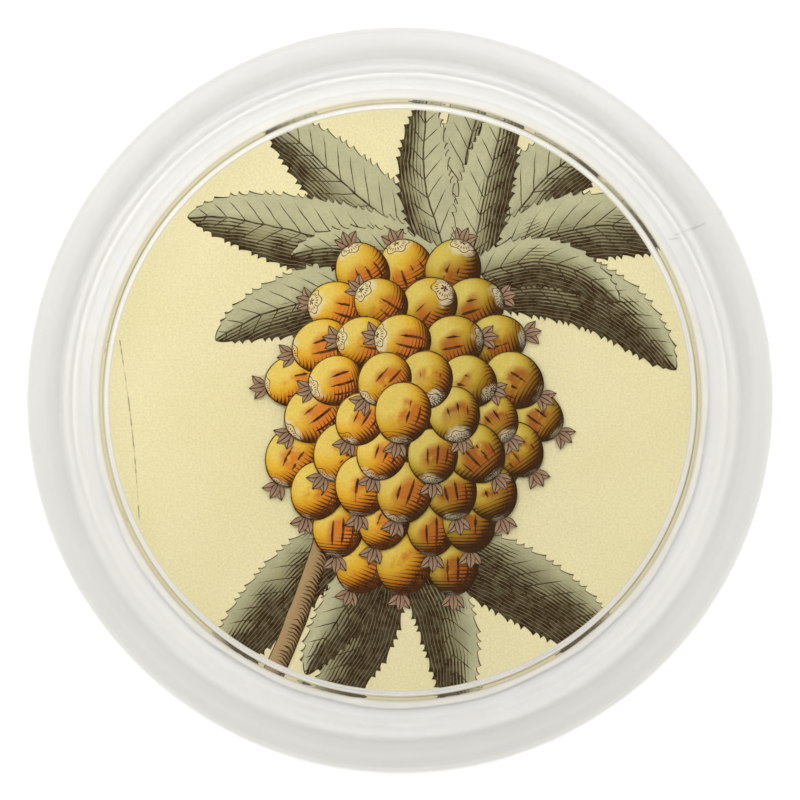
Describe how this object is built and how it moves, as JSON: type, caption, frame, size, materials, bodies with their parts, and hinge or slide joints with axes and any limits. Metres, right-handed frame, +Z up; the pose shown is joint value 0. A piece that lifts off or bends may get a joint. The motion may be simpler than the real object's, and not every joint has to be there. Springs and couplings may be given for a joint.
{
  "type": "glass coaster",
  "caption": "Round pressed-glass drinks coaster with a shallow well and a printed paper picture glued under its floor.",
  "frame": {"origin": "on the coaster's axis, at the underside of the paper, where the coaster stands", "axes": "+Z up along the axis of the round glass, +X to the right and +Y to the top of the picture"},
  "size_m": [0.114, 0.114, 0.0118],
  "materials": {
    "clear_glass": "gloss",
    "printed_paper": "matt"
  },
  "bodies": {
    "root": {"glass_dish": "clear_glass", "paper_print": "printed_paper"}
  },
  "joints": []
}
